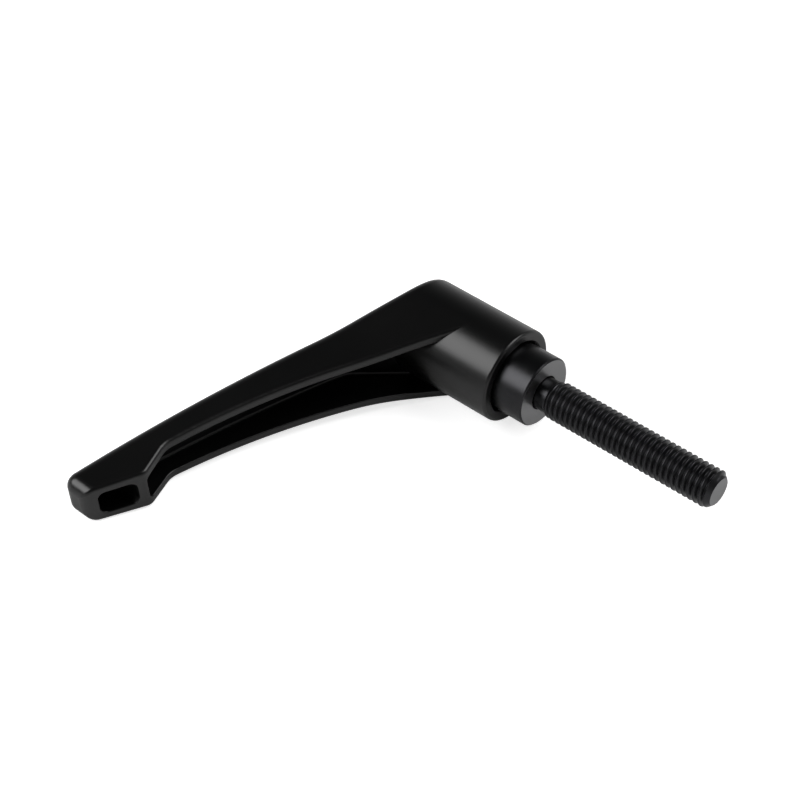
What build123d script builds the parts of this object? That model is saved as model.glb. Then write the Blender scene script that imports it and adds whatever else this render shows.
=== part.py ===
from build123d import *
import math
import os

# Adjustable clamping lever of the M8 size: a die-cast arm on a toothed steel insert
# that carries a threaded stud. A screw and a spring hold the lever on the insert;
# lifted off the teeth, the lever turns freely to its next position.
#
# Frame: +X runs along the stud from the clamping face of the insert to the end of
# the stud, the arm points to -Y, and +Z is up when the lever lies on its side.
# The origin is the centre of the clamping face. All lengths are in millimetres, and
# a place along the stud, such as hub_top, is an x value in this frame.

# ---- driving dimensions -----------------------------------------------------
# threaded stud: rings at the pitch of the M8 thread stand for its turns
stud_major_d = 8.0
stud_root_d = 6.65
thread_pitch = 1.25
thread_crest = thread_pitch / 8
stud_end = 41.3
stud_seat = 8.0            # length pressed into the insert
stud_end_chamfer = 1.1
seat_chamfer = 0.4         # at the stud's inner end
stud_bore_room = 0.2       # the bore is this much deeper than the seat
neck_d = 6.8               # plain neck next to the clamping face
neck_len = 2.4

# toothed insert
insert_d = 14.8
insert_top = -17.0         # its inner end
insert_chamfer = 0.3
teeth_n = 24               # one position every 15 degrees
teeth_tip_r = insert_d / 2 - 0.2
teeth_root_r = teeth_tip_r - 0.8
teeth_len = 4.2
teeth_clear = 0.16         # radial play of the lever on the teeth
countersink = 0.3          # edge of the bore around the neck

# hub of the lever
hub_d = 20.0
hub_rim = -7.0             # end towards the clamping face
hub_top = -33.35           # outer end
hub_rim_round = 0.6
mouth_play = 0.25          # radial play of the plain bore around the insert
mouth_d = insert_d + 2 * mouth_play
mouth_chamfer = 0.4

# screw, spring and their chamber in the hub
lift_travel = 4.5          # the lever lifts this far off the teeth
seat_play = 0.05           # web of the lever to the insert, lever pushed home
web_top = -20.5            # ledge that the spring stands on
chamber_d = 9.8
screw_d = 5.0
screw_hole_d = screw_d + 0.6
screw_tip = -10.0
screw_tip_chamfer = 0.5
screw_bore_room = 0.5      # the bore is this much deeper than the screw
head_d = 8.8
head_len = 3.0
head_chamfer = 0.4
head_under = -30.0         # underside of the head, where the spring ends
socket_af = 4.0            # hexagon socket, across flats
socket_depth = 1.8
wire_d = 0.9
spring_mean_d = 7.4
spring_turns = 4.0
spring_end_play = 0.02

# arm
arm_len = 77.75            # stud axis to the end of the grip
grip_half_width = 4.385    # outer half width at the grip end
half_width_taper = 0.0388  # gained for each millimetre towards the hub
straight_from = -18.4      # the walls swing out to the hub from here
swing_round = 60.0
wall = 2.0                 # side walls of the open channel
back_wall = 2.4
back_round = 2.5           # round the hub's top, along the back and at the grip end
rim_round = 0.8            # outer edges of the open side
mouth_round = 0.25         # inner edges of the open side
floor_round = 0.6          # inside corners along the channel's floor
channel_end = 11.2 - arm_len     # web between the channel and the finger pocket
channel_corner = 1.0
channel_start = 2.0              # y where the channel's plan ends inside the hub
pocket = (9.3 - arm_len, 2.5 - arm_len)    # pocket in the finger bulge, from and to
pocket_half_width = 2.75
pocket_corner = 1.5

# outline of the arm seen from the side, as (x, y): both long sides are arcs
grip_back = -54.75               # back of the grip at its end
back_arc = [(hub_top, 1.2), (-46.15, -38.0), (grip_back, -arm_len)]
hub_bend_round = 10.0            # where the back leaves the hub's flat top
open_arc = [(grip_back + 10.1, 18.3 - arm_len), (-34.1, -30.0), (-15.9, -1.0)]
bulge_crest = (grip_back + 12.4, 11.0 - arm_len)     # highest point of the finger bulge
bulge_end = (grip_back + 6.7, -arm_len)
bulge_crest_round = 2.2
bulge_foot_round = 5.0
ramp_foot = -17.1                # the channel's floor leaves the back here
ramp_top = (-26.2, -5.0)         # and rises to the hub
ramp_round = 5.0

# cutting room: beyond every surface of the lever, and into a neighbour's room
beyond = 14.0
far = 60.0
lap = 0.1

# how far an edge may lie from the sharp outline that it belongs to
on_line = 0.01
near_back = 0.2
near_open_side = 1.0

hub_r = hub_d / 2
back_centre = ThreePointArc(*back_arc).arc_center
back_radius = ThreePointArc(*back_arc).radius


def half_width(y):
    """Outer half width of the arm on its straight stretch."""
    return grip_half_width + half_width_taper * (y + arm_len)


def back_x(y, depth):
    """x at y of the back's arc, moved into the arm by depth."""
    return back_centre.X - math.sqrt((back_radius - depth) ** 2 - (y - back_centre.Y) ** 2)


def back_curve(y_from, y_to, depth):
    """The back's arc seen from the side, moved into the arm by depth."""
    return ThreePointArc(*[(back_x(y, depth), y) for y in (y_from, (y_from + y_to) / 2, y_to)])


def bar(x0, x1, section):
    """A section in the YZ plane, extruded along the stud axis from x0 to x1."""
    return Pos(x0, 0, 0) * extrude(Plane.YZ * section, x1 - x0)


def slab(sketch):
    """A side view in the XY plane, extruded past both flanks of the lever."""
    return extrude(Pos(0, 0, -beyond) * sketch, 2 * beyond)


def edges_at(shape, x):
    return [e for e in shape.edges() if abs(e.center().X - x) < on_line]


def corner(sketch, point):
    """The sketch's vertex nearest to the (x, y) point."""
    return sketch.vertices().sort_by(
        lambda v: (v.X - point[0]) ** 2 + (v.Y - point[1]) ** 2)[0]


# ---- outlines of the arm ----------------------------------------------------
def arm_plan(inset, end_y, corner_round, into_hub):
    """Arm seen along the stud: walls tangent to the hub, moved in by inset.

    The outline ends square at into_hub, or runs round the hub if that is 0.
    """
    bend = (straight_from, half_width(straight_from))
    reach = math.hypot(*bend)
    angle = math.atan2(bend[1], bend[0]) - math.acos(hub_r / reach)
    touch = (hub_r * math.cos(angle), hub_r * math.sin(angle))
    slope = (touch[1] - bend[1]) / (touch[0] - bend[0])
    upper = [(end_y, half_width(end_y) - inset), (bend[0], bend[1] - inset),
             (touch[0], touch[1] - inset)]
    if into_hub:
        upper.append((into_hub, touch[1] - inset + slope * (into_hub - touch[0])))
    lower = [(y, -z) for y, z in reversed(upper)]
    with BuildSketch(Plane.YZ) as plan:
        with BuildLine():
            Polyline(*upper)
            if into_hub:
                Line(upper[-1], lower[0])
            else:
                ThreePointArc(upper[-1], (hub_r, 0), lower[0])
            Polyline(*lower)
            Line(lower[-1], upper[0])
        make_face()
        fillet([v for v in plan.vertices() if abs(v.X - bend[0]) < 1e-6], swing_round)
        if corner_round:
            fillet([v for v in plan.vertices() if abs(v.X - end_y) < 1e-6], corner_round)
    return plan.sketch


outer_plan = arm_plan(0.0, -arm_len, 0.0, 0.0)
channel_plan = arm_plan(wall, channel_end, channel_corner, channel_start)
pocket_plan = Plane.YZ * Pos((pocket[0] + pocket[1]) / 2, 0) * RectangleRounded(
    pocket[0] - pocket[1], 2 * pocket_half_width, pocket_corner)
open_side = Wire([Line(bulge_end, bulge_crest), Line(bulge_crest, open_arc[0]),
                  ThreePointArc(*open_arc)])


def arm_side():
    """Arm and hub top seen from the side."""
    with BuildSketch(Plane.XY) as side:
        with BuildLine():
            ThreePointArc(*back_arc)
            Line(back_arc[-1], bulge_end)
            add(open_side)
            Polyline(open_arc[-1], (open_arc[-1][0], beyond), (hub_top, beyond), back_arc[0])
        make_face()
        fillet(corner(side, back_arc[0]), hub_bend_round)
        fillet(corner(side, bulge_crest), bulge_crest_round)
        fillet(corner(side, open_arc[0]), bulge_foot_round)
    return side.sketch


def room_side(y_from, y_to, rise_to):
    """Room above the arm's floor seen from the side; rise_to leads from the floor to x = 0."""
    with BuildSketch(Plane.XY) as side:
        with BuildLine():
            floor = back_curve(y_from, y_to, back_wall)
            Polyline(floor @ 0, *rise_to, (0, y_to), floor @ 1)
        make_face()
    return side.sketch


# ---- which edges are rounded ------------------------------------------------
def upright(edge):
    """True for edges parallel to the stud."""
    a, b = edge @ 0, edge @ 1
    return math.hypot(a.Y - b.Y, a.Z - b.Z) < 1e-3


def across(edge):
    """True for edges that run from flank to flank."""
    a, b = edge @ 0, edge @ 1
    return math.hypot(a.X - b.X, a.Y - b.Y) < 1e-3


def on_outline(edge, plan):
    """True for edges that lie on the plan's outline, seen along the stud."""
    c = edge @ 0.5
    return not upright(edge) and plan.wire().distance_to(Vertex(0, c.Y, c.Z)) < on_line


def on_back(edge):
    c = edge @ 0.5
    back = hub_top if c.Y > back_arc[0][1] else back_x(c.Y, 0)
    return abs(c.X - back) < near_back


def on_open_side(edge):
    c = edge @ 0.5
    seen = Vertex(c.X, c.Y, 0)
    return c.Y < open_arc[-1][1] and open_side.distance_to(seen) < near_open_side


# ---- arm --------------------------------------------------------------------
def make_arm():
    """Arm with its channel and pocket, and with the hub's top, all edges rounded."""
    arm = slab(arm_side()) & extrude(outer_plan, -far)
    arm -= bar(web_top, -far, Circle(chamber_d / 2))
    ends = [e for e in arm.edges() if (e @ 0.5).Y < -arm_len + on_line]
    back = [e for e in arm.edges() if on_outline(e, outer_plan) and on_back(e)
            and e not in ends]
    arm = fillet(ends + back, back_round)
    rim = [e for e in arm.edges() if on_outline(e, outer_plan) and on_open_side(e)
           and not across(e)]
    arm = fillet(rim, rim_round)
    arm -= make_channel()
    arm -= slab(room_side(*pocket, [(0, pocket[0])])) & extrude(pocket_plan, -far)
    mouths = [e for e in arm.edges() if on_open_side(e)
              and (on_outline(e, channel_plan) or on_outline(e, pocket_plan))]
    return fillet(mouths, mouth_round)


def make_channel():
    """Room between the arm's walls, rounded along its floor."""
    side = room_side(ramp_foot, -arm_len, [ramp_top, (ramp_top[0], 0), (0, 0)])
    foot = corner(side, (back_x(ramp_foot, back_wall), ramp_foot))
    room = slab(fillet(foot, ramp_round)) & extrude(channel_plan, -far)
    low = [e for e in room.edges() if not upright(e) and (e @ 0.5).X < ramp_top[0]
           and (e @ 0.5).Y < ramp_top[1]
           and (not across(e) or (e @ 0.5).Y < channel_end + on_line)]
    return fillet(low, floor_round)


# ---- lever ------------------------------------------------------------------
def tooth_ring(tip_r, root_r):
    """Star-shaped section with its teeth_n points at tip_r."""
    pts = []
    for k in range(2 * teeth_n):
        turn = math.pi * k / teeth_n
        r = root_r if k % 2 else tip_r
        pts.append((r * math.cos(turn), r * math.sin(turn)))
    return Polygon(*pts, align=None)


def make_mouth():
    """Plain bore around the insert, chamfered at the rim."""
    r, end = mouth_d / 2, insert_top + teeth_len
    with BuildSketch(Plane.XY) as half:
        with BuildLine():
            Polyline((0, 0), (0, r + mouth_chamfer), (hub_rim, r + mouth_chamfer),
                     (hub_rim - mouth_chamfer, r), (end, r), (end, 0), (0, 0))
        make_face()
    return revolve(half.sketch, Axis.X)


def make_lever():
    hub = bar(hub_rim, hub_top + back_round, Circle(hub_r))
    lever = fillet(edges_at(hub, hub_rim), hub_rim_round) + make_arm()
    lever -= make_mouth()
    lever -= bar(insert_top + teeth_len + lap, insert_top - seat_play,
                 tooth_ring(teeth_tip_r + teeth_clear, teeth_root_r + teeth_clear))
    lever -= bar(insert_top + lap, web_top - lap, Circle(screw_hole_d / 2))
    lever -= bar(web_top, -far, Circle(chamber_d / 2))
    return lever


# ---- pieces inside and below the lever --------------------------------------
def make_insert():
    """Steel insert: collar, external teeth, bores for the stud and the screw."""
    teeth_from = insert_top + teeth_len
    insert = bar(0, teeth_from, Circle(insert_d / 2))
    insert = chamfer(edges_at(insert, 0), insert_chamfer)
    insert += bar(teeth_from + lap, insert_top, tooth_ring(teeth_tip_r, teeth_root_r))
    insert -= bar(lap, -stud_seat - stud_bore_room, Circle(neck_d / 2))
    insert -= Rot(0, 90, 0) * Pos(0, 0, -countersink / 2) * Cone(
        neck_d / 2, neck_d / 2 + countersink, countersink)
    insert -= bar(insert_top - lap, screw_tip + screw_bore_room, Circle(screw_d / 2))
    return insert


def groove(x):
    """Ring-shaped cut between two crests, with its middle at x."""
    half_gap = (thread_pitch - thread_crest) / 2
    r = stud_major_d / 2
    return revolve(Polygon((x, stud_root_d / 2), (x - half_gap, r), (x - half_gap, r + lap),
                           (x + half_gap, r + lap), (x + half_gap, r), align=None), Axis.X)


def make_stud():
    """Stud: seat in the insert, plain neck, ringed length, chamfered end."""
    r, neck_r = stud_major_d / 2, neck_d / 2
    thread_from = neck_len + r - neck_r
    with BuildSketch(Plane.XY) as half:
        with BuildLine():
            Polyline((-stud_seat, 0), (-stud_seat, neck_r - seat_chamfer),
                     (-stud_seat + seat_chamfer, neck_r), (neck_len, neck_r), (thread_from, r),
                     (stud_end - stud_end_chamfer, r), (stud_end, r - stud_end_chamfer),
                     (stud_end, 0), (-stud_seat, 0))
        make_face()
    stud = revolve(half.sketch, Axis.X)
    first = thread_from + (thread_pitch + thread_crest) / 2
    grooves = int((stud_end - first) / thread_pitch)
    return stud - [groove(first + k * thread_pitch) for k in range(grooves)]


def make_screw():
    """Retaining screw with a hexagon socket head."""
    head_top = head_under - head_len
    shank = bar(head_under, screw_tip, Circle(screw_d / 2))
    shank = chamfer(edges_at(shank, screw_tip), screw_tip_chamfer)
    head = bar(head_under, head_top, Circle(head_d / 2))
    head = chamfer(edges_at(head, head_top), head_chamfer)
    socket = RegularPolygon(socket_af / 2, 6, major_radius=False)
    return shank + head - bar(head_top, head_top + socket_depth, socket)


def make_spring():
    """Compression spring between the ledge in the hub and the screw head."""
    rise = web_top - head_under - wire_d - 2 * spring_end_play
    coil = Helix(rise / spring_turns, rise, spring_mean_d / 2)
    wire = sweep(Plane(coil @ 0, z_dir=coil % 0) * Circle(wire_d / 2), path=coil)
    return Pos(head_under + wire_d / 2 + spring_end_play, 0, 0) * Rot(0, 90, 0) * wire


os.makedirs("parts", exist_ok=True)
for name, shape in [("lever", make_lever()), ("toothed_insert", make_insert()),
                    ("threaded_stud", make_stud()), ("retaining_screw", make_screw()),
                    ("spring", make_spring())]:
    print(name, round(shape.volume, 1), "mm3, valid", shape.is_valid)
    export_step(shape, "parts/" + name + ".step")
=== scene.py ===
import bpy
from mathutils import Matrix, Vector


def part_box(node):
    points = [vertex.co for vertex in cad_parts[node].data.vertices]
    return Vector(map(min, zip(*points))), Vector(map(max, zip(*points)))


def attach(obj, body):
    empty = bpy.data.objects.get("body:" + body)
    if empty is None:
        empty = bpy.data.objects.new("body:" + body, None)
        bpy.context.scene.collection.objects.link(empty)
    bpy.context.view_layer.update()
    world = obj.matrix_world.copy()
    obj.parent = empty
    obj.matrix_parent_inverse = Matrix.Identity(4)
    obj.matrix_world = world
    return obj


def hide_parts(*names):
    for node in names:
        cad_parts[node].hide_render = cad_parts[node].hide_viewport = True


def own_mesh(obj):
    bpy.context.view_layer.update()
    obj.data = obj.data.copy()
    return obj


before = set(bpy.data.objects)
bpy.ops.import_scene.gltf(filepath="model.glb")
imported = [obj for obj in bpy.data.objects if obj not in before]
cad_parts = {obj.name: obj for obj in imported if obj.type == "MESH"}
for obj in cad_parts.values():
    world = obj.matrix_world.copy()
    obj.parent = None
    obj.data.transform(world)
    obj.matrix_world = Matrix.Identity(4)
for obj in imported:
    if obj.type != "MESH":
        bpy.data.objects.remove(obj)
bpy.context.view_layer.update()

import math
import bmesh
import bpy
from mathutils import Matrix, Vector

MM = 0.001

# ---- lever -----------------------------------------------------------------------
# One zinc die casting with hub, open arm and finger grip in one piece, blasted and
# powder coated black. The baked coat is satin, with a very fine orange peel, and
# rounds every edge a little.

COAT_BLACK = (0.0016, 0.0016, 0.0017, 1.0)
COAT_ROUGHNESS = 0.30
COAT_ROUGHNESS_VARIES = 0.04
COAT_IOR = 1.5
PEEL_PER_M = 900.0         # orange peel
FINE_PER_M = 6 * PEEL_PER_M
CLOUD_PER_M = 60.0
CLOUD_DARK, CLOUD_LIGHT = 0.8, 1.25        # shares of the colour in the clouding


def new_group(name, inputs, outputs):
    """An empty shader node group with the named inputs (name, default) and outputs."""
    group = bpy.data.node_groups.new(name, "ShaderNodeTree")
    for label, default in inputs:
        socket = group.interface.new_socket(
            name=label, in_out="INPUT", socket_type="NodeSocketFloat")
        socket.default_value = default
    for label, kind in outputs:
        group.interface.new_socket(name=label, in_out="OUTPUT", socket_type=kind)
    return group, group.nodes.new("NodeGroupInput"), group.nodes.new("NodeGroupOutput")


def add(tree, kind, **settings):
    """A node of that kind, with node properties by name and inputs by in_NAME."""
    node = tree.nodes.new(kind)
    for key, value in settings.items():
        if key.startswith("in_"):
            node.inputs[key[3:].replace("_", " ")].default_value = value
        else:
            setattr(node, key, value)
    return node


def math_node(tree, operation, first, second):
    """A Math node; each operand is a number or an output socket."""
    node = tree.nodes.new("ShaderNodeMath")
    node.operation = operation
    for k, value in enumerate((first, second)):
        if isinstance(value, (int, float)):
            node.inputs[k].default_value = value
        else:
            tree.links.new(value, node.inputs[k])
    return node.outputs[0]


def surface_grain():
    """Fine grain and broad, faint cloudiness, measured in the object's own metres."""
    group, given, out = new_group(
        "surface grain",
        [("Grain per metre", 5000.0), ("Cloud per metre", 60.0)],
        [("Grain", "NodeSocketFloat"), ("Cloud", "NodeSocketFloat")])
    place = add(group, "ShaderNodeTexCoord")
    fine = add(group, "ShaderNodeTexNoise", in_Detail=3.0, in_Roughness=0.6)
    broad = add(group, "ShaderNodeTexNoise", in_Detail=4.0, in_Roughness=0.55)
    for noise, scale in ((fine, "Grain per metre"), (broad, "Cloud per metre")):
        group.links.new(place.outputs["Object"], noise.inputs["Vector"])
        group.links.new(given.outputs[scale], noise.inputs["Scale"])
    group.links.new(fine.outputs["Fac"], out.inputs["Grain"])
    group.links.new(broad.outputs["Fac"], out.inputs["Cloud"])
    return group


def soft_edges():
    """Normal of the surface with its sharp edges slightly rounded."""
    group, given, out = new_group(
        "soft edges", [("Edge width", 0.0001)], [("Normal", "NodeSocketVector")])
    rounded = add(group, "ShaderNodeBevel", samples=4)
    group.links.new(given.outputs["Edge width"], rounded.inputs["Radius"])
    group.links.new(rounded.outputs["Normal"], out.inputs["Normal"])
    return group


GRAIN = surface_grain()
SOFT_EDGES = soft_edges()


def place_group(tree, group, **inputs):
    node = tree.nodes.new("ShaderNodeGroup")
    node.node_tree = group
    for key, value in inputs.items():
        node.inputs[key.replace("_", " ")].default_value = value
    return node


def new_material(name):
    material = bpy.data.materials.new(name)
    material.use_nodes = True
    return material, material.node_tree, material.node_tree.nodes["Principled BSDF"]


def spread(tree, value, low, high):
    """The 0..1 value mapped to low..high."""
    node = add(tree, "ShaderNodeMapRange")
    node.inputs["To Min"].default_value = low
    node.inputs["To Max"].default_value = high
    tree.links.new(value, node.inputs["Value"])
    return node.outputs["Result"]


def tint(tree, value, dark, light):
    """The 0..1 value mapped to a colour between dark and light."""
    node = add(tree, "ShaderNodeMix", data_type="RGBA")
    node.inputs[6].default_value = dark
    node.inputs[7].default_value = light
    tree.links.new(value, node.inputs["Factor"])
    return node.outputs[2]


def varied(tree, value, middle, by):
    """The 0..1 value mapped to a range of by on both sides of middle."""
    return spread(tree, value, middle - by, middle + by)


def bump(tree, height, strength, distance, normal=None):
    node = add(tree, "ShaderNodeBump", in_Strength=strength, in_Distance=distance)
    tree.links.new(height, node.inputs["Height"])
    if normal is not None:
        tree.links.new(normal, node.inputs["Normal"])
    return node.outputs["Normal"]


def scaled(colour, share):
    return tuple(c * share for c in colour[:3]) + (1.0,)


def clouded(tree, cloud, colour):
    """The colour, a little darker and lighter from place to place."""
    return tint(tree, cloud, scaled(colour, CLOUD_DARK), scaled(colour, CLOUD_LIGHT))


def powder_coat():
    material, tree, skin = new_material("black powder coat")
    fine = place_group(tree, GRAIN, Grain_per_metre=FINE_PER_M, Cloud_per_metre=CLOUD_PER_M)
    peel = place_group(tree, GRAIN, Grain_per_metre=PEEL_PER_M, Cloud_per_metre=CLOUD_PER_M)
    tree.links.new(clouded(tree, fine.outputs["Cloud"], COAT_BLACK), skin.inputs["Base Color"])
    rough = varied(tree, fine.outputs["Cloud"], COAT_ROUGHNESS, COAT_ROUGHNESS_VARIES)
    tree.links.new(rough, skin.inputs["Roughness"])
    skin.inputs["IOR"].default_value = COAT_IOR
    uneven = bump(tree, peel.outputs["Grain"], 0.10, 0.05 * MM)
    tree.links.new(bump(tree, fine.outputs["Grain"], 0.12, 0.012 * MM, uneven),
                   skin.inputs["Normal"])
    return material


def dress(node, material):
    """Gives a CAD node its material in place of the plain one."""
    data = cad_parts[node].data
    data.materials.clear()
    data.materials.append(material)
    for face in data.polygons:
        face.material_index = 0


dress("lever", powder_coat())

# ---- toothed insert ----------------------------------------------------------------
# A turned steel bush with a plain collar that shows below the hub and milled teeth
# inside it. Turned on a lathe, then black oxidised and lightly oiled.

OXIDE_BLACK = (0.036, 0.036, 0.038, 1.0)
OXIDE_FACED_AND_SHEEN = (0.265, 0.265, 0.270, 1.0)     # end faces, cut last and thinly oxidised, and lighter still as a painted reflection of the lit table
OXIDE_ROUGHNESS = 0.32
OXIDE_ROUGHNESS_VARIES = 0.05
OXIDE_GRAIN_PER_M, OXIDE_CLOUD_PER_M = 3500.0, 260.0
TURNING_PER_M = 6000.0
BROKEN_EDGE = 0.12 * MM    # width of the edges that the lathe hand broke


def turning_lines():
    """Rings left by the lathe tool: along the stud axis and across the end faces."""
    group, given, out = new_group(
        "turning lines", [("Lines per metre", TURNING_PER_M)], [("Lines", "NodeSocketFloat")])
    place = add(group, "ShaderNodeTexCoord")
    axes = add(group, "ShaderNodeSeparateXYZ")
    group.links.new(place.outputs["Object"], axes.inputs[0])
    radius = math_node(group, "SQRT", math_node(
        group, "ADD", math_node(group, "POWER", axes.outputs["Y"], 2.0),
        math_node(group, "POWER", axes.outputs["Z"], 2.0)), 0.0)
    along = math_node(group, "ADD", axes.outputs["X"], radius)
    track = add(group, "ShaderNodeCombineXYZ")
    group.links.new(math_node(group, "MULTIPLY", along, given.outputs["Lines per metre"]),
                    track.inputs["X"])
    lines = add(group, "ShaderNodeTexNoise", in_Scale=1.0, in_Detail=2.0)
    group.links.new(track.outputs[0], lines.inputs["Vector"])
    group.links.new(lines.outputs["Fac"], out.inputs["Lines"])
    return group


def end_faces():
    """Mask of the flat faces that are square to the stud."""
    group, given, out = new_group(
        "end faces", [("Sharpness", 12.0)], [("Mask", "NodeSocketFloat")])
    place = add(group, "ShaderNodeTexCoord")
    axes = add(group, "ShaderNodeSeparateXYZ")
    group.links.new(place.outputs["Normal"], axes.inputs[0])
    facing = math_node(group, "ABSOLUTE", axes.outputs["X"], 0.0)
    group.links.new(math_node(group, "POWER", facing, given.outputs["Sharpness"]),
                    out.inputs["Mask"])
    return group


TURNING = turning_lines()
FACES = end_faces()


def black_oxide(name, faced_and_sheen, lines_strength, roughness=OXIDE_ROUGHNESS):
    """Turned steel, black oxidised; the second argument lightens its end faces: partly their
    freshly cut finish, partly a painted reflection of the lit table.
    """
    material, tree, skin = new_material(name)
    grain = place_group(tree, GRAIN, Grain_per_metre=OXIDE_GRAIN_PER_M,
                        Cloud_per_metre=OXIDE_CLOUD_PER_M)
    soft = place_group(tree, SOFT_EDGES, Edge_width=BROKEN_EDGE)
    turned = place_group(tree, TURNING)
    faces = place_group(tree, FACES)
    # lighter end faces: their freshly cut finish and a painted reflection of the lit table
    bare_and_sheen = math_node(tree, "MULTIPLY", faces.outputs["Mask"], faced_and_sheen)
    colour = add(tree, "ShaderNodeMix", data_type="RGBA")
    colour.inputs[7].default_value = OXIDE_FACED_AND_SHEEN
    tree.links.new(clouded(tree, grain.outputs["Cloud"], OXIDE_BLACK), colour.inputs[6])
    tree.links.new(bare_and_sheen, colour.inputs["Factor"])
    tree.links.new(colour.outputs[2], skin.inputs["Base Color"])
    skin.inputs["Metallic"].default_value = 1.0
    tree.links.new(varied(tree, grain.outputs["Cloud"], roughness, OXIDE_ROUGHNESS_VARIES),
                   skin.inputs["Roughness"])
    ridged = bump(tree, turned.outputs["Lines"], lines_strength, 0.01 * MM, soft.outputs["Normal"])
    tree.links.new(bump(tree, grain.outputs["Grain"], 0.10, 0.01 * MM, ridged),
                   skin.inputs["Normal"])
    return material


dress("toothed_insert", black_oxide("black oxide, turned insert", 1.0, 0.35))

# ---- threaded stud -------------------------------------------------------------------
# A steel stud with a rolled M8 coarse thread, pressed into the insert. A plain neck
# stands next to the clamping face, and the end is chamfered. Black oxidised.

PITCH = 1.25 * MM
CREST_R = 3.985 * MM
ROOT_R = 3.25 * MM
SEAT_R = 3.4 * MM
NECK_END = 2.1 * MM
END_CHAMFER = 1.1 * MM
CREST_SHARE = 0.16         # of the pitch, flat crest
CREST_EASE = 0.035         # of the pitch, rounding beside the crest
CREST_LIP = 0.045 * MM     # depth of that rounding
ROOT_SHARE = 0.20          # of the pitch, rounded root
ROOT_EASE = 0.08 * MM      # height at which the flanks turn into the root
ROOT_BELLY = 0.02 * MM
SEAT_CHAMFER = 0.4 * MM
RUN_OUT = 1.1 * PITCH      # the thread gains its depth over this length
RUN_OUT_SLOPE = 0.9
TURN_STEPS = 96
WELD = 0.002 * MM          # points nearer than this are one
ON_PLANE = 0.01 * MM       # a point this near to an end's plane belongs to it
NECK_LOOP = 0.4 * MM       # a ring of points on the neck stands here


def thread_profile():
    """(place in the pitch, radius) round one pitch: crest, flank, rounded root, flank."""
    half_crest, half_root = CREST_SHARE / 2, ROOT_SHARE / 2
    start, end = half_crest + CREST_EASE, 0.5 - half_root
    flank_top, flank_end = CREST_R - CREST_LIP, ROOT_R + ROOT_EASE
    shoulder = CREST_R - 0.2 * CREST_LIP
    points = [(-start, flank_top), (-half_crest, shoulder), (0.0, CREST_R),
              (half_crest, shoulder), (start, flank_top)]
    for k in (1, 2):
        share = k / 3
        points.append((start + (end - start) * share, flank_top + (flank_end - flank_top) * share))
    belly = ROOT_R + ROOT_BELLY
    points += [(end, flank_end), (0.5 - half_root / 2, belly), (0.5, ROOT_R),
               (0.5 + half_root / 2, belly), (0.5 + half_root, flank_end)]
    for k in (2, 1):
        share = k / 3
        points.append((1 - start - (end - start) * share,
                       flank_top + (flank_end - flank_top) * share))
    return points


def stud_mesh():
    """Stud as rings of vertices that follow the helix, trimmed by its neck and its end."""
    low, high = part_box("threaded_stud")
    x_end = high.x

    def envelope(x):
        end_r = CREST_R - max(0.0, x - (x_end - END_CHAMFER))
        start_r = SEAT_R + max(0.0, (x - NECK_END)) * RUN_OUT_SLOPE
        return min(end_r, start_r)

    def root_lift(x):
        """Share of the thread's depth at x: it grows from nothing over the run-out."""
        return min(1.0, max(0.0, (x - NECK_END) / RUN_OUT))

    mesh = bmesh.new()
    profile = thread_profile()
    first, last = int(NECK_END / PITCH) - 2, int(x_end / PITCH) + 2
    rings = [(turn + place, radius)
             for turn in range(first, last) for place, radius in profile]
    grid = []
    for share, radius in rings:
        row = []
        for step in range(TURN_STEPS):
            angle = 2 * math.pi * step / TURN_STEPS
            x = share * PITCH + PITCH * step / TURN_STEPS
            x = min(max(x, NECK_END), x_end)
            cut = SEAT_R + (radius - SEAT_R) * root_lift(x)
            r = min(cut, envelope(x))
            row.append(mesh.verts.new((x, r * math.cos(angle), r * math.sin(angle))))
        grid.append(row)
    per_turn = len(profile)
    for i in range(len(grid) - 1):
        for step in range(TURN_STEPS):
            if step + 1 < TURN_STEPS:
                corners = (grid[i][step], grid[i][step + 1],
                           grid[i + 1][step + 1], grid[i + 1][step])
            else:
                j, k = i + per_turn, i + 1 + per_turn
                if k >= len(grid):
                    continue
                corners = (grid[i][step], grid[j][0], grid[k][0], grid[i + 1][step])
            mesh.faces.new(corners)
    bmesh.ops.remove_doubles(mesh, verts=mesh.verts, dist=WELD)
    bmesh.ops.dissolve_degenerate(mesh, edges=mesh.edges, dist=WELD / 2)
    return mesh, x_end, low.x


def close_stud(mesh, x_end, x_seat):
    """Adds the flat end, the neck and the seat to the open thread."""
    open_edges = [e for e in mesh.edges if e.is_boundary]

    def edges_at(x):
        return [e for e in open_edges if all(abs(v.co.x - x) < ON_PLANE for v in e.verts)]

    at_end, at_neck = edges_at(x_end), edges_at(NECK_END)
    bmesh.ops.edgeloop_fill(mesh, edges=at_end)
    ring = at_neck
    for x, r in ((NECK_LOOP, SEAT_R), (0.0, SEAT_R), (x_seat + SEAT_CHAMFER, SEAT_R),
                 (x_seat, SEAT_R - SEAT_CHAMFER)):
        grown = bmesh.ops.extrude_edge_only(mesh, edges=ring)["geom"]
        for v in (g for g in grown if isinstance(g, bmesh.types.BMVert)):
            size = math.hypot(v.co.y, v.co.z)
            v.co = Vector((x, v.co.y / size * r, v.co.z / size * r))
        ring = [g for g in grown if isinstance(g, bmesh.types.BMEdge)]
    bmesh.ops.edgeloop_fill(mesh, edges=ring)
    bmesh.ops.recalc_face_normals(mesh, faces=mesh.faces)


def object_from(mesh, name, smooth_below):
    """A scene object from a bmesh, smooth except across edges sharper than the angle."""
    for face in mesh.faces:
        face.smooth = True
    for edge in mesh.edges:
        if len(edge.link_faces) == 2 and edge.calc_face_angle(0.0) > smooth_below:
            edge.smooth = False
    data = bpy.data.meshes.new(name)
    mesh.to_mesh(data)
    mesh.free()
    made = bpy.data.objects.new(name, data)
    bpy.context.scene.collection.objects.link(made)
    return made


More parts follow.
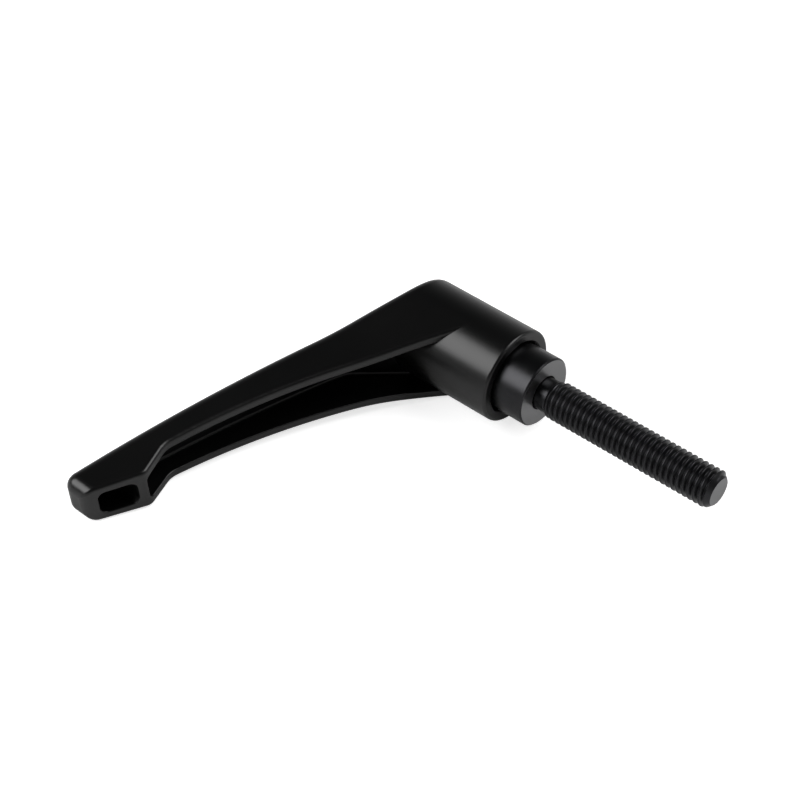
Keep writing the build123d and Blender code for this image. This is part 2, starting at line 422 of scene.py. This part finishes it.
thread_mesh, thread_end, thread_seat = stud_mesh()
close_stud(thread_mesh, thread_end, thread_seat)
stud = object_from(thread_mesh, "stud_with_thread", math.radians(40))
stud.data.materials.append(black_oxide("black oxide, rolled thread", 1.0, 0.1, 0.30))
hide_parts("threaded_stud")
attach(stud, "insert")

# ---- retaining screw -------------------------------------------------------------------
# A short socket head screw in the top of the hub, black oxidised as bought. It holds
# the spring in its chamber and the lever on the insert.

dress("retaining_screw", black_oxide("black oxide, socket screw", 0.3, 0.15, 0.36))

# ---- spring --------------------------------------------------------------------------------
# A compression spring of bright drawn wire between the screw head and the ledge in the
# hub, with closed ends. It shortens when the lever is lifted off its teeth.

WIRE_R = 0.45 * MM
COIL_R = 3.7 * MM
SPRING_TURNS = 4.0
WIRE_SIDES = 12
COIL_STEPS = 40
CLOSED_TURNS = 0.75
AHEAD = 0.01               # turns to both sides, for the wire's direction
WIRE_DARK, WIRE_LIGHT = (0.30, 0.30, 0.31, 1.0), (0.48, 0.48, 0.49, 1.0)
WIRE_GRAIN_PER_M, WIRE_CLOUD_PER_M = 9000.0, 400.0


def spring_mesh():
    """Round wire along a helix whose end turns lie flat against their neighbours."""
    low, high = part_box("spring")
    start, end = low.x + WIRE_R, high.x - WIRE_R
    flat_rise = 2 * WIRE_R * CLOSED_TURNS
    mesh = bmesh.new()
    steps = int(SPRING_TURNS * COIL_STEPS)

    def centre(turn):
        free = SPRING_TURNS - 2 * CLOSED_TURNS
        if turn < CLOSED_TURNS:
            x = start + flat_rise * turn / CLOSED_TURNS
        elif turn > SPRING_TURNS - CLOSED_TURNS:
            x = end - flat_rise * (SPRING_TURNS - turn) / CLOSED_TURNS
        else:
            open_rise = end - start - 2 * flat_rise
            x = start + flat_rise + open_rise * (turn - CLOSED_TURNS) / free
        angle = 2 * math.pi * turn
        return Vector((x, COIL_R * math.cos(angle), COIL_R * math.sin(angle)))

    rings = []
    for k in range(steps + 1):
        turn = SPRING_TURNS * k / steps
        middle = centre(turn)
        ahead = centre(min(turn + AHEAD, SPRING_TURNS)) - centre(max(turn - AHEAD, 0.0))
        out = Vector((0.0, middle.y, middle.z)).normalized()
        across = ahead.normalized().cross(out).normalized()
        sides = [2 * math.pi * s / WIRE_SIDES for s in range(WIRE_SIDES)]
        rings.append([mesh.verts.new(middle + WIRE_R * (out * math.cos(a) + across * math.sin(a)))
                      for a in sides])
    for near, far in zip(rings, rings[1:]):
        for s in range(WIRE_SIDES):
            t = (s + 1) % WIRE_SIDES
            mesh.faces.new((near[s], near[t], far[t], far[s]))
    mesh.faces.new(rings[0])
    mesh.faces.new(rings[-1])
    bmesh.ops.recalc_face_normals(mesh, faces=mesh.faces)
    return mesh


def bright_wire():
    material, tree, skin = new_material("bright drawn spring wire")
    grain = place_group(tree, GRAIN, Grain_per_metre=WIRE_GRAIN_PER_M,
                        Cloud_per_metre=WIRE_CLOUD_PER_M)
    tree.links.new(tint(tree, grain.outputs["Cloud"], WIRE_DARK, WIRE_LIGHT),
                   skin.inputs["Base Color"])
    skin.inputs["Metallic"].default_value = 1.0
    tree.links.new(spread(tree, grain.outputs["Grain"], 0.22, 0.34), skin.inputs["Roughness"])
    tree.links.new(bump(tree, grain.outputs["Grain"], 0.1, 0.01 * MM), skin.inputs["Normal"])
    return material


spring = object_from(spring_mesh(), "compression_spring", math.radians(50))
spring.data.materials.append(bright_wire())
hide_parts("spring")
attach(spring, "spring_seat")
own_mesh(spring)

# ---- studio ----------------------------------------------------------------------------------
# A plain white table under the lever as it lies on its hub and its grip, with large soft
# lights at the front left and the back right. The backdrop is white to the camera and
# falls off into a dark ceiling in what the lever reflects.

WHITE = (1.0, 1.0, 1.0, 1.0)
TABLE_HALF = 6.0
TABLE_GAP = 0.02 * MM
TABLE_PAINT = (0.80, 0.80, 0.80, 1.0)
TABLE_GLOW = 0.74          # lifts the lit table to white in the picture
TABLE_SHEEN = 0.05         # and by this much in reflections
BACKDROP_SHEEN = 0.02      # share of the white backdrop in reflections
BACKDROP_LEVELS = ((0.0, 0.44), (0.22, 0.235), (0.50, 0.07), (0.70, 0.01))     # (height, level)


def lying_tilt():
    """Tilt at which the lever touches the table with its hub and its grip."""
    points = [v.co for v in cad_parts["lever"].data.vertices if v.co.y < -2 * hub_r]
    return min(math.asin(hub_r / math.hypot(p.y, p.z)) - math.atan2(-p.z, -p.y) for p in points)


hub_r = -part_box("lever")[0].z
rest_tilt = lying_tilt()
table_up = Vector((0.0, math.sin(rest_tilt), math.cos(rest_tilt)))


def lamp(name, toward, distance, width, height, power):
    """An area lamp at that direction from the hub, facing it."""
    data = bpy.data.lights.new(name, "AREA")
    data.shape = "RECTANGLE"
    data.size, data.size_y, data.energy = width, height, power
    made = bpy.data.objects.new(name, data)
    made.location = toward.normalized() * distance
    made.rotation_mode = "QUATERNION"
    made.rotation_quaternion = toward.to_track_quat("Z", "Y")
    bpy.context.scene.collection.objects.link(made)
    return made


def heading(azimuth, elevation):
    """Unit vector at azimuth from +X towards +Y, elevation above the table."""
    a, e = math.radians(azimuth), math.radians(elevation)
    level = Vector((math.cos(a) * math.cos(e), math.sin(a) * math.cos(e), math.sin(e)))
    return Matrix.Rotation(-rest_tilt, 3, "X") @ level


def ray_kinds(tree):
    """1 for rays from the camera, and 1 for rays that a surface reflects or lets through."""
    path = add(tree, "ShaderNodeLightPath")
    return path.outputs["Is Camera Ray"], math_node(
        tree, "MAXIMUM", path.outputs["Is Glossy Ray"], path.outputs["Is Transmission Ray"])


def table_material():
    material = bpy.data.materials.new("white table")
    material.use_nodes = True
    tree = material.node_tree
    tree.nodes.clear()
    out = add(tree, "ShaderNodeOutputMaterial")
    paint = add(tree, "ShaderNodeBsdfDiffuse", in_Color=TABLE_PAINT)
    glow = add(tree, "ShaderNodeEmission", in_Color=WHITE)
    direct, mirrored = ray_kinds(tree)
    place = add(tree, "ShaderNodeTexCoord")
    distance = add(tree, "ShaderNodeVectorMath", operation="LENGTH")
    tree.links.new(place.outputs["Object"], distance.inputs[0])
    far_off = math_node(tree, "POWER", distance.outputs["Value"], 2.0)
    seen = math_node(tree, "MULTIPLY", direct, spread(tree, far_off, TABLE_GLOW, 1.0))
    sheen = math_node(tree, "MULTIPLY", mirrored, TABLE_SHEEN)
    strength = math_node(tree, "ADD", seen, sheen)
    tree.links.new(strength, glow.inputs["Strength"])
    both = add(tree, "ShaderNodeAddShader")
    tree.links.new(paint.outputs[0], both.inputs[0])
    tree.links.new(glow.outputs[0], both.inputs[1])
    tree.links.new(both.outputs[0], out.inputs["Surface"])
    return material


def table():
    mesh = bmesh.new()
    across, forward = Vector((1.0, 0.0, 0.0)), table_up.cross(Vector((1.0, 0.0, 0.0)))
    middle = -table_up * (hub_r + TABLE_GAP)
    mesh.faces.new([mesh.verts.new(middle + across * TABLE_HALF * i + forward * TABLE_HALF * j)
                    for i, j in ((-1, -1), (1, -1), (1, 1), (-1, 1))])
    made = object_from(mesh, "table", math.pi)
    made.data.materials.append(table_material())
    return made


def backdrop():
    """World light: pale at table height, dark overhead, and white where the camera sees it."""
    world = bpy.data.worlds.new("studio")
    bpy.context.scene.world = world
    world.use_nodes = True
    tree = world.node_tree
    place = add(tree, "ShaderNodeTexCoord")
    axes = add(tree, "ShaderNodeSeparateXYZ")
    tree.links.new(place.outputs["Generated"], axes.inputs[0])
    ramp = add(tree, "ShaderNodeValToRGB")
    tree.links.new(axes.outputs["Z"], ramp.inputs["Fac"])
    stops = ramp.color_ramp.elements
    stops.remove(stops[1])
    for height, level in BACKDROP_LEVELS:
        stop = stops.new(height) if height else stops[0]
        stop.position, stop.color = height, (level, level, level, 1.0)
    direct, mirrored = ray_kinds(tree)
    white = math_node(tree, "ADD", direct, math_node(tree, "MULTIPLY", mirrored, BACKDROP_SHEEN))
    colour = add(tree, "ShaderNodeMix", data_type="RGBA")
    tree.links.new(white, colour.inputs["Factor"])
    tree.links.new(ramp.outputs["Color"], colour.inputs[6])
    colour.inputs[7].default_value = WHITE
    tree.links.new(colour.outputs[2], tree.nodes["Background"].inputs["Color"])


table()
backdrop()
lamp("front left softbox", heading(-130.0, 37.0), distance=0.9, width=0.66, height=0.62, power=5.6)
lamp("back right softbox", heading(50.0, 52.0), distance=1.0, width=0.70, height=0.70, power=5.5)

# ---- camera ------------------------------------------------------------------------------------
# A long lens from above the front right, at the lever's side.

SENSOR_WIDTH, FOCAL_LENGTH = 36.0, 85.95           # both in millimetres
CAMERA_AT = Vector((161.59, -207.08, 268.87)) * MM
CAMERA_RIGHT = Vector((0.7498, 0.66, -0.0473))
CAMERA_UP = Vector((-0.4492, 0.5602, 0.696))
CAMERA_BACK = Vector((0.4859, -0.5006, 0.7164))

camera_data = bpy.data.cameras.new("camera")
camera_data.sensor_width, camera_data.lens = SENSOR_WIDTH, FOCAL_LENGTH
camera_data.clip_start, camera_data.clip_end = 0.01, 20.0
camera = bpy.data.objects.new("camera", camera_data)
facing = Matrix((CAMERA_RIGHT, CAMERA_UP, CAMERA_BACK)).transposed().to_4x4()
camera.matrix_world = Matrix.Translation(CAMERA_AT) @ facing
bpy.context.scene.collection.objects.link(camera)
bpy.context.scene.camera = camera
bpy.context.scene.view_settings.view_transform = "Standard"
